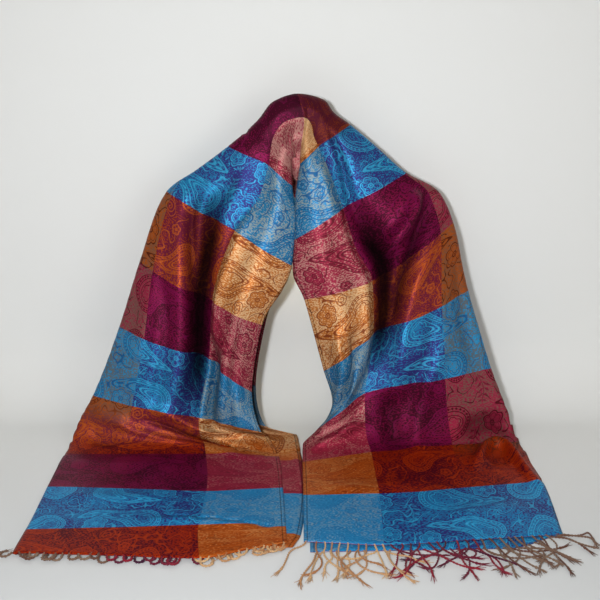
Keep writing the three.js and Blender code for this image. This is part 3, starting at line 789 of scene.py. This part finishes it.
def drawing(tree, place, across, along):
    """Fill and line of all figures, and of the vines behind them."""
    wander_across, wander_along = noise(tree, place, 60), noise(tree, place, 47)
    odd = (across / REPEAT[0]).math("FLOOR").modulo(2)
    dropped = along + odd * (REPEAT[1] / 2)
    facing = (dropped / REPEAT[1]).math("FLOOR").modulo(2) * 2 - 1
    u = (across.modulo(REPEAT[0]) - REPEAT[0] / 2) * facing + wander_across * WANDER - WANDER / 2
    v = dropped.modulo(REPEAT[1]) + wander_along * WANDER - WANDER / 2
    level = noise(tree, place, 25, 0.6)
    vines = abs(level - 0.5).below(0.017, 0.014)
    tendrils = abs(level - 0.6).below(0.02, 0.016) | abs(level - 0.4).below(0.02, 0.016)
    cell = {"Vector": place, "Scale": 1 / LEAFLET_CELL}
    cells = add_node(tree, "ShaderNodeTexVoronoi", cell, voronoi_dimensions="2D")
    leaflets = (Field(tree, cells.outputs["Distance"]) * LEAFLET_CELL).below(2.2, 1.2)
    sprays = most(spray(u, v, *each) for each in SPRAYS)
    curls = most(curl(u, v, *each) for each in CURLS)
    fill = tendrils | leaflets | sprays
    line = vines | curls | sprays * 0.6
    figures = [paisley(u, v, *each, PAISLEY_BEND) for each in PAISLEYS]
    figures += [blossom(u, v, *each) for each in BLOSSOMS]
    for inside, figure_fill, figure_line in figures:
        fill = fill * inside.outside() + figure_fill
        line = line * inside.outside() + figure_line
    return fill, line


print("figures in a repeat:", len(PAISLEYS) + len(BLOSSOMS) + len(SPRAYS) + len(CURLS))

# %% [markdown]
# Each warp stripe and weft band has its own three colours. The bands are read from a ramp with hard steps,
# one for each stripe, and the stripes are mixed by how far from the middle of the cloth they lie.

# %% The colours of the crossings
BAND = 112
PURPLE_REACH = CLOTH_WIDTH / 2 - 110  # from the cloth's middle, where purple gives way to beige
GREY_REACH = CLOTH_WIDTH / 2 - 230  # and brown-grey to purple
BANDS = ("orange", "blue", "magenta")
# for each warp stripe and weft band: the ground, the fill and the line
CROSSINGS = {
    "beige": {
        "orange": ("#c09a70", "#b0682e", "#74341a"),
        "blue": ("#76868c", "#22719e", "#184e7e"),
        "magenta": ("#a0706a", "#8c243c", "#561420"),
    },
    "purple": {
        "orange": ("#681c34", "#a4421a", "#b8581e"),
        "blue": ("#302c70", "#227cae", "#3aa8d2"),
        "magenta": ("#400820", "#7c1040", "#780f49"),
    },
    "grey": {
        "orange": ("#7c5038", "#a4501e", "#4c1c10"),
        "blue": ("#5a656e", "#2c8cc0", "#1f558a"),
        "magenta": ("#744c48", "#982844", "#481018"),
    },
}
LINE_STRENGTH = 0.95  # of the drawn lines, and in purple
LINE_STRENGTH_PURPLE = 0.7


def crossing_colour(tree, look, band_share, in_purple, in_grey):
    """The colour of one look, ground, fill or line, over all stripes and bands."""
    stripes = []
    for bands in CROSSINGS.values():
        ramp = add_node(tree, "ShaderNodeValToRGB", {0: band_share})
        ramp.color_ramp.interpolation = "CONSTANT"
        ramp.color_ramp.elements.new(0.5)
        for number, (element, band) in enumerate(zip(ramp.color_ramp.elements, BANDS)):
            element.position = number / len(BANDS)
            element.color = linear(bands[band][look])
        stripes.append(ramp.outputs[0])
    return mix(tree, in_grey, mix(tree, in_purple, stripes[0], stripes[1]), stripes[2])


print("colours:", sum(len(looks) for bands in CROSSINGS.values() for looks in bands.values()))

# %% [markdown]
# No figure is solid. Its threads come and go in short floats, so two colours always mingle, and broad
# patches of the cloth take up more weft than others. The tails show most weft, and hardly any figure in
# their beige stripe, painted for how the floats catch the light where they lie low on the floor. Their
# colours are painted lighter and fuller too, as light and shade, each band by its own amount, and the neck
# is quieter than the rest. Painted shade darkens the deep creases, the left back layer's selvedge where it
# shows and the purple round the right of the collar. Silk and viscose give a soft satin sheen from the long
# weft floats, over a fine twill, and each selvedge is plain with one dark line.

# %% The jacquard
TAILS_MIDDLE = -10  # along the cloth, halfway between the tails, and how far on each side they start
TAILS_FROM = 632
NECK_BAND = BAND / 2  # along, the middle of the band that lies at the neck
GREY_FADES_FROM = 640  # mm from there, where the brown-grey stripe turns purple
TWILL = 2.2  # mm of thread from one ridge of the twill to the next, coarse enough to show
FLOAT_LENGTH = 1.9  # mm, coarse enough to show too


def jacquard_material():
    """Silk and viscose jacquard: a soft satin sheen from the long weft floats, over a fine twill."""
    material, tree, shader = new_material("silk and viscose jacquard")
    place, across, along = woven_place(tree)
    fill, line = drawing(tree, place, across, along)
    # the stripes, the bands and the stretches of the cloth
    from_middle = abs(across - CLOTH_WIDTH / 2)
    in_purple = from_middle.below(PURPLE_REACH, 0.8)
    grey_fades = abs(along - NECK_BAND).above(GREY_FADES_FROM, 50)
    in_grey = from_middle.below(GREY_REACH, 0.8) * (grey_fades * -0.92 + 1)
    deep = in_purple - in_grey
    band_share = ((along / BAND).math("FLOOR").modulo(len(BANDS)) + 0.5) / len(BANDS)
    on_tail = abs(along - TAILS_MIDDLE).above(TAILS_FROM, 60)
    at_neck = abs(along).below(92, 56)
    # painted shade on the purple round the right of the collar, where the cloth turns away from the light
    collar_shade = abs(along - NECK_BAND).below(62, 36) * in_purple
    # where the weft shows: figures and broad patches, in short floats
    patches = noise(tree, place, 55, 1) * 1.5 - 0.75
    floats = noise(tree, place, FLOAT_LENGTH, 0, (0.55, 1.15, 1)) * 2.3 - 0.65
    streaks = noise(tree, place, 9, 2, (0.3, 1.6, 1))
    # painted for how the floats catch the light at the floor's low angle: on the tails more weft and weft
    # streaks show, and fewer figures
    plain = on_tail * in_purple.outside() * (streaks * 1.3 - 0.06)
    fill = fill.math("MINIMUM", 1) * (deep * -0.2 + 0.48) * (on_tail * 0.35 + 1)
    bold = in_purple.outside() * (band_share * 0.34 - 0.07)
    weft = fill + patches * 0.7 + on_tail * 0.14 + at_neck * -0.42 + in_purple * -0.02 + bold + 0.24
    shows = (floats - weft).below(0, 0.7) | plain
    drawn = line.math("MINIMUM", 1) * (floats * 0.35 + 0.78) * (plain * -1.1 + 1 | 0.1) * (at_neck * -0.6 + 1)
    # the three looks of every stripe and band
    ground, filled, lined = (crossing_colour(tree, look, band_share, in_purple, in_grey) for look in range(3))
    strength = deep * (LINE_STRENGTH_PURPLE - LINE_STRENGTH) + LINE_STRENGTH
    colour = mix(tree, shows, ground, filled)
    colour = mix(tree, (drawn * strength).math("MINIMUM", 1), colour, lined)
    # how light and how full the colours are: painted light and painted shade on the tails, each band by its
    # own amount, painted shade in creases and on the collar, and the twill, floats and selvedge line's own
    # tone
    in_orange = band_share.below(0.33, 0.1)
    in_blue = abs(band_share - 0.5).below(0.15, 0.1)
    in_magenta = abs(band_share - 0.83).below(0.15, 0.1)
    painted_tail_light = in_orange * (in_purple * -0.15 + 0.42) + in_blue * (in_purple * -0.48 + 0.62)
    painted_tail_light = painted_tail_light + in_magenta * in_purple.outside() * 0.22
    edge_line = abs(from_middle * -1 + CLOTH_WIDTH / 2 - 5).below(0.8, 0.6)
    twill = ((across + along) * (2 * math.pi / TWILL)).sine()
    # painted shade, read from the cloth's attribute: darker the deeper a place lies in a crease, and on the
    # left back layer's selvedge
    shade_depth = Field(tree, add_node(tree, "ShaderNodeAttribute", attribute_name="shade_depth").outputs["Fac"])
    shade = (twill * 0.05 + floats * 0.2 + 0.9) * (edge_line * -0.55 + 1) * (on_tail * painted_tail_light + 1)
    shade = shade * (shade_depth * -0.93 + 1) * (collar_shade * -0.5 + 1)
    # painted shade on the tails: their colours deepened, as where the floats shade one another at a low angle
    tail_shade_gamma = on_tail * (in_orange * 0.4 + 0.08) + 1
    colour = add_node(tree, "ShaderNodeGamma", {0: colour, 1: tail_shade_gamma}).outputs[0]
    colour = add_node(tree, "ShaderNodeVectorMath", {0: colour, "Scale": shade}, operation="SCALE").outputs[0]
    height = twill * 0.05 + shows * 0.12 + floats * 0.08 - drawn * 0.08
    bump = add_node(tree, "ShaderNodeBump", {"Height": height, "Distance": 0.001, "Strength": 0.6}).outputs[0]
    roughness = shows * -0.08 + 0.48 + shade_depth * 0.5
    fill_inputs(tree, shader, {"Base Color": colour, "Normal": bump, "Roughness": roughness})
    # bright floats throw light back in their own colour, as a metal does
    fill_inputs(tree, shader, {"Specular IOR Level": 0.08, "Metallic": 0.35})
    return material


jacquard = jacquard_material()
shawl.data.materials.append(jacquard)
print("jacquard nodes:", len(jacquard.node_tree.nodes))

# %% [markdown]
# The fringe is the warp itself: at each end the threads are gathered in bundles, twisted two by two,
# knotted, and left as a tuft. A tassel is two strands wound round each other along a path that wanders over
# the floor. The right tail's lie out in full. The left tail's are caught under its hem, so only their bends
# show, as short loops.

# %% One tassel
STRAND = 0.75  # radius of each of the two strands
WINDING = 0.7  # from the tassel's middle to the middle of a strand
TWIST = 8.5  # mm of tassel for one turn
SIDES = 5
PATH_STEP = 2.2
LYING_HEIGHT = 2.1  # of a tassel's middle over the floor
DROP = 6  # mm of tassel over which it comes down from the cloth's end
FRINGE_TO = 350  # how far right the fringe lies out, before its ends crowd together
FRINGE_PILE = 20
KNOT_FROM_TIP = 11
KNOT_LENGTH = 2.2
KNOT_SWELL = 0.9
TUFT_HAIRS = 8
TUFT_RINGS = 6


def across_path(path):
    """Two unit vectors at each point of a path, square to it and to each other."""
    tangent = np.gradient(path, axis=0)
    tangent /= np.linalg.norm(tangent, axis=1)[:, None]
    side = np.cross(tangent, [0, 0, 1])
    side /= np.maximum(np.linalg.norm(side, axis=1), 1e-6)[:, None]
    return side, np.cross(side, tangent)


def tube(path, radii):
    """Points of a round tube along a path, one ring for each point of it."""
    side, up = across_path(path)
    angles = np.arange(SIDES) * 2 * math.pi / SIDES
    ring = side[:, None] * np.cos(angles)[None, :, None] + up[:, None] * np.sin(angles)[None, :, None]
    return path[:, None] + ring * radii[:, None, None]


def strand_path(path, lengths, radius, phase):
    """A path wound round another one."""
    side, up = across_path(path)
    angle = lengths / TWIST * 2 * math.pi + phase
    return path + side * (np.cos(angle) * radius)[:, None] + up * (np.sin(angle) * radius)[:, None]


def tassel_path(start, heading, length, bends, rise):
    """A path on the floor from its start, turning by the angles in bends, spread evenly over its length."""
    count = max(10, int(length / PATH_STEP))
    lengths = np.linspace(0, length, count)
    angles = np.radians(heading + np.interp(lengths / length, np.linspace(0, 1, len(bends)), bends))
    steps = np.stack([np.sin(angles), -np.cos(angles)], axis=1) * (length / (count - 1))
    path = np.zeros((count, 3))
    path[:, :2] = start[:2] + np.concatenate([[[0, 0]], np.cumsum(steps[1:], axis=0)])
    path[:, 0] = crowded(path[:, 0], FRINGE_TO, FRINGE_PILE)
    lying_at = FLOOR + LYING_HEIGHT
    dropping = (start[2] - lying_at) * np.exp(-lengths / DROP)
    path[:, 2] = lying_at + rise * np.sin(np.pi * lengths / length) + dropping
    return path, lengths


def tassel_tubes(path, lengths, thicker, random):
    """The two strands of a tassel, swollen at its knot, and the loose hairs of its tuft."""
    from_tip = lengths[-1] - lengths
    swell = 1 + KNOT_SWELL * np.exp(-(((from_tip - KNOT_FROM_TIP) / KNOT_LENGTH) ** 2))
    tip = np.clip(from_tip / 3, 0.25, 1)
    radii = STRAND * thicker * swell * np.clip(tip, 0.3, 1)
    winding = WINDING * tip * thicker
    tubes = [tube(strand_path(path, lengths, winding, phase), radii) for phase in (0, math.pi)]
    tuft = path[-TUFT_RINGS:]
    along_tuft = np.linspace(0, 1, TUFT_RINGS)[:, None] ** 1.4
    for _ in range(TUFT_HAIRS):
        lean = random.normal(0, 1, 3) * (1, 1, 0.25)
        hair = tuft + along_tuft * (lean * 2.8 + (tuft[-1] - tuft[0]) * 0.25)
        tubes.append(tube(hair, np.linspace(0.6, 0.25, TUFT_RINGS)))
    return tubes


print("strands:", 2 * STRAND, "mm thick, one turn in", TWIST, "mm")

# %% [markdown]
# The tassels stand 11.5 mm apart along the cut end. The right ones fan out to the right. Each has its own
# length and its own bends, from a seeded random row, and one in five doubles back on itself.

# %% The fringe
PITCH = 11.5  # mm from one tassel to the next along the cut end
FOLD_ACROSS = CLOTH_WIDTH / 2
FAN_AT = (0, 60, 120, 230, 300, 350)
FAN = (-14, -4, 8, 24, 38, 56)  # degrees by which the right tassels lean outwards, for each place across
DOUBLED_BACK = (0, 0, 30, 90, 170)  # degrees of turning, on the way to the tip
LOOPED = (0, 20, 120, 185, 210)
LOOPS_SHOW_FROM = 40  # of the left back layer's tassels, only those near the selvedge show


def fringe_mesh(name, tassels, thicker=1):
    """One mesh of many tassels. Each is its path, its lengths, and its place across the cloth."""
    vertices, quads, uvs = [], [], []
    count = 0
    random = np.random.default_rng(7)
    for path, lengths, across in tassels:
        for points in tassel_tubes(path, lengths, thicker, random):
            rings, sides = points.shape[:2]
            index = np.arange(rings * sides).reshape(rings, sides) + count
            count += rings * sides
            following = np.roll(index, -1, axis=1)
            faces = np.stack([index[:-1], following[:-1], following[1:], index[1:]], axis=-1)
            quads.append(faces.reshape(-1, 4))
            vertices.append(points.reshape(-1, 3))
            uvs.append(np.column_stack([np.full(rings * sides, across), np.repeat(np.arange(rings), sides)]))
    vertices, quads, uvs = np.concatenate(vertices), np.concatenate(quads), np.concatenate(uvs)
    vertices[:, 2] = np.maximum(vertices[:, 2], FLOOR + 0.3)
    return mesh_piece(name, vertices, quads, uvs)


def tassels_at(row, side):
    """The tassels of one end. side is 1 for the right, where they lie out, and -1 for the left."""
    random = np.random.default_rng(20 + side)
    tassels = []
    for across in np.arange(5, CLOTH_WIDTH, PITCH):
        start = surface[row, np.argmin(abs(acrosses - across))] + (0, 2, 0)
        in_front = across < FOLD_ACROSS
        shown = across if in_front else CLOTH_WIDTH - across
        if side > 0:
            heading = np.interp(shown, FAN_AT, FAN) + random.normal(0, 11)
            length = random.uniform(66, 86) if in_front else random.uniform(54, 82)
            bends = np.cumsum(np.concatenate([[0], random.normal(0, 38, 4)])) * 0.8
            if random.random() < 0.2:
                bends = bends + np.array(DOUBLED_BACK) * random.choice((-1, 1))
        else:
            if across > FOLD_ACROSS and shown > LOOPS_SHOW_FROM:
                continue
            heading = random.normal(0, 16)
            length = random.uniform(30, 44)
            bends = np.array(LOOPED) * random.choice((-1, 1)) + random.normal(0, 10, 5)
        path, lengths = tassel_path(start, heading, length, bends, random.uniform(0.2, 3.2))
        tassels.append((path, lengths, across))
    return tassels


right_fringe = fringe_mesh("right_fringe_tassels", tassels_at(-1, 1))
left_fringe = fringe_mesh("left_fringe_tassels", tassels_at(0, -1), 1.3)
print("fringe faces:", len(right_fringe.data.polygons), len(left_fringe.data.polygons))

# %% [markdown]
# Twisted viscose yarn is softer and duller than the woven cloth. Each tassel takes the colour of the warp
# stripe that it comes from, a little lighter or darker than the next one, and a fine fuzz breaks its light.


# %% The fringe's yarn
def fringe_material():
    """Loose twisted yarn, the warp's own three colours, softer and duller than the woven cloth."""
    material, tree, shader = new_material("twisted viscose yarn")
    across = woven_place(tree)[1]
    from_middle = abs(across - CLOTH_WIDTH / 2)
    in_purple = from_middle.below(PURPLE_REACH, 1)
    in_grey = from_middle.below(GREY_REACH, 1)
    each = add_node(tree, "ShaderNodeTexWhiteNoise", {"W": across}, noise_dimensions="1D").outputs[0]
    beige = mix(tree, each, linear("#cdab80"), linear("#9c6a44"))
    purple = mix(tree, each, linear("#2a0e2c"), linear("#8a1228"))
    grey = mix(tree, each, linear("#806a58"), linear("#5a3226"))
    colour = mix(tree, in_grey, mix(tree, in_purple, beige, purple), grey)
    place = add_node(tree, "ShaderNodeTexCoord").outputs["Object"]
    fuzz = add_node(tree, "ShaderNodeTexNoise", {"Vector": place, "Scale": 900}).outputs[0]
    tone = Field(tree, fuzz) * 0.9 + 0.55
    colour = add_node(tree, "ShaderNodeVectorMath", {0: colour, "Scale": tone}, operation="SCALE").outputs[0]
    bump = add_node(tree, "ShaderNodeBump", {"Height": fuzz, "Distance": 0.0006, "Strength": 0.5}).outputs[0]
    fill_inputs(tree, shader, {"Base Color": colour, "Normal": bump, "Roughness": 0.7})
    fill_inputs(tree, shader, {"Specular IOR Level": 0.2, "Sheen Weight": 0.1})
    return material


yarn = fringe_material()
right_fringe.data.materials.append(yarn)
left_fringe.data.materials.append(yarn)
print("yarn nodes:", len(yarn.node_tree.nodes))

# %% [markdown]
# The hanger keeps the shape of its CAD solids. It is moulded plastic with a soft satin face, a faint
# cloudiness and a fine grain.


# %% The hanger
def hanger_material():
    """Warm grey moulded plastic: smooth, a little waxy, with a fine grain that breaks its highlights."""
    material, tree, shader = new_material("satin moulded plastic")
    place = add_node(tree, "ShaderNodeTexCoord").outputs["Object"]
    grain = add_node(tree, "ShaderNodeTexNoise", {"Vector": place, "Scale": 1400, "Detail": 2}).outputs[0]
    cloud = add_node(tree, "ShaderNodeTexNoise", {"Vector": place, "Scale": 22, "Detail": 3}).outputs[0]
    colour = mix(tree, cloud, linear("#3a3532"), linear("#46403c"))
    bump = add_node(tree, "ShaderNodeBump", {"Height": grain, "Distance": 0.0002, "Strength": 0.3}).outputs[0]
    roughness = Field(tree, cloud) * 0.2 + 0.3
    fill_inputs(tree, shader, {"Base Color": colour, "Normal": bump, "Roughness": roughness})
    return material


hanger_plastic = hanger_material()
hanger_parts = [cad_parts[part] for part in ("hanger_hook", "hanger_arms")]
for solid in hanger_parts:
    solid.data.materials.clear()
    solid.data.materials.append(hanger_plastic)
print("hanger parts:", len(hanger_parts))

# %% [markdown]
# The studio: one pale paper sweep, close behind the shawl as a wall and rounding into the floor. The paper
# is clear from behind, so that the shawl can be seen from there, and painted a little darker on the floor in
# front, as shade.

# %% The sweep
WALL_Y = 0.075
WALL_TOP = 2.2
SWEEP_RADIUS = 0.12
SWEEP_STEPS = 16
SWEEP_REACH = 3  # metres to either side and to the front
profile = [(-SWEEP_REACH, FLOOR * MM)]
for step in range(SWEEP_STEPS + 1):
    turn = math.pi / 2 * step / SWEEP_STEPS
    out = WALL_Y - SWEEP_RADIUS + SWEEP_RADIUS * math.sin(turn)
    profile.append((out, FLOOR * MM + SWEEP_RADIUS * (1 - math.cos(turn))))
profile.append((WALL_Y, WALL_TOP))
sweep_points = [(side, y, z) for y, z in profile for side in (-SWEEP_REACH, SWEEP_REACH)]
sweep_faces = [(2 * i, 2 * i + 1, 2 * i + 3, 2 * i + 2) for i in range(len(profile) - 1)]
sweep_mesh = bpy.data.meshes.new("sweep")
sweep_mesh.from_pydata(sweep_points, [], sweep_faces)
sweep_mesh.shade_smooth()
sweep = bpy.data.objects.new("sweep", sweep_mesh)
bpy.context.scene.collection.objects.link(sweep)


def paper_material():
    """Matt paper: no gloss, one colour on the wall, and a slightly darker one on the floor, as painted shade.
    """
    material, tree, shader = new_material("matt white paper")
    place = add_node(tree, "ShaderNodeTexCoord").outputs["Object"]
    out_front = Field(tree, add_node(tree, "ShaderNodeSeparateXYZ", {0: place}).outputs[1])
    # painted shade: the paper is a little darker on the floor than on the wall
    colour = mix(tree, out_front.below(-0.28, 0.4), linear("#e6e8e7"), linear("#d0d3d4"))
    fill_inputs(tree, shader, {"Base Color": colour, "Roughness": 0.9})
    from_behind = add_node(tree, "ShaderNodeNewGeometry").outputs["Backfacing"]
    clear = add_node(tree, "ShaderNodeBsdfTransparent").outputs[0]
    faces = {0: from_behind, 1: shader.outputs[0], 2: clear}
    one_sided = add_node(tree, "ShaderNodeMixShader", faces).outputs[0]
    fill_inputs(tree, tree.nodes["Material Output"], {"Surface": one_sided})
    return material


sweep.data.materials.append(paper_material())
print("sweep points:", len(sweep_points))

# %% [markdown]
# The key light is small and stands close to the camera, a little to its left, so that each fold throws a
# narrow shadow to its right. A wide one on the right and a wider one above soften what it leaves dark, and
# a faint warm one lights the wall between the two fronts. The world adds the light of a pale room.

# %% The lights
LIGHTS = (
    # name, place, the point it is turned to, side in metres, watts, colour
    ("key", (-0.14, -1.3, 0.1), (0, 0, -0.25), 0.07, 11.4, "#fafcff"),
    ("right", (1.1, -1.5, 0.2), (0.2, 0, -0.2), 0.9, 4.1, "#fff8f0"),
    ("fill", (-0.8, -1.7, 1.4), (0, 0, -0.3), 1.6, 5.0, "#fff5e8"),
    ("glow", (0.005, -0.02, -0.19), (0.005, 0.075, -0.24), 0.05, 0.3, "#fff0c0"),
)
WORLD_STRENGTH = 0.25
for name, place, aim, size, watts, colour in LIGHTS:
    data = bpy.data.lights.new(name, "AREA")
    data.shape = "SQUARE"
    data.size = size
    data.energy = watts
    data.color = linear(colour)[:3]
    light = bpy.data.objects.new(name, data)
    bpy.context.scene.collection.objects.link(light)
    light.location = place
    x, y, z = np.array(aim) - np.array(place)
    down = math.acos(-z / np.linalg.norm((x, y, z)))
    light.rotation_euler = (down, 0, math.atan2(y, x) - math.pi / 2)
world = bpy.data.worlds.new("studio")
bpy.context.scene.world = world
world.use_nodes = True
background = {"Color": linear("#fbf3e8"), "Strength": WORLD_STRENGTH}
fill_inputs(world.node_tree, world.node_tree.nodes["Background"], background)
bpy.context.scene.view_settings.view_transform = "Standard"
print("lights:", len(LIGHTS))

# %% Finish
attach(shawl, "root")
cloth_nodes = [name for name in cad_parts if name.endswith(("_front", "_back"))]
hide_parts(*cloth_nodes)
for piece, solid in ((right_fringe, "right_fringe"), (left_fringe, "left_fringe")):
    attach(piece, "root")
    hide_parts(solid)
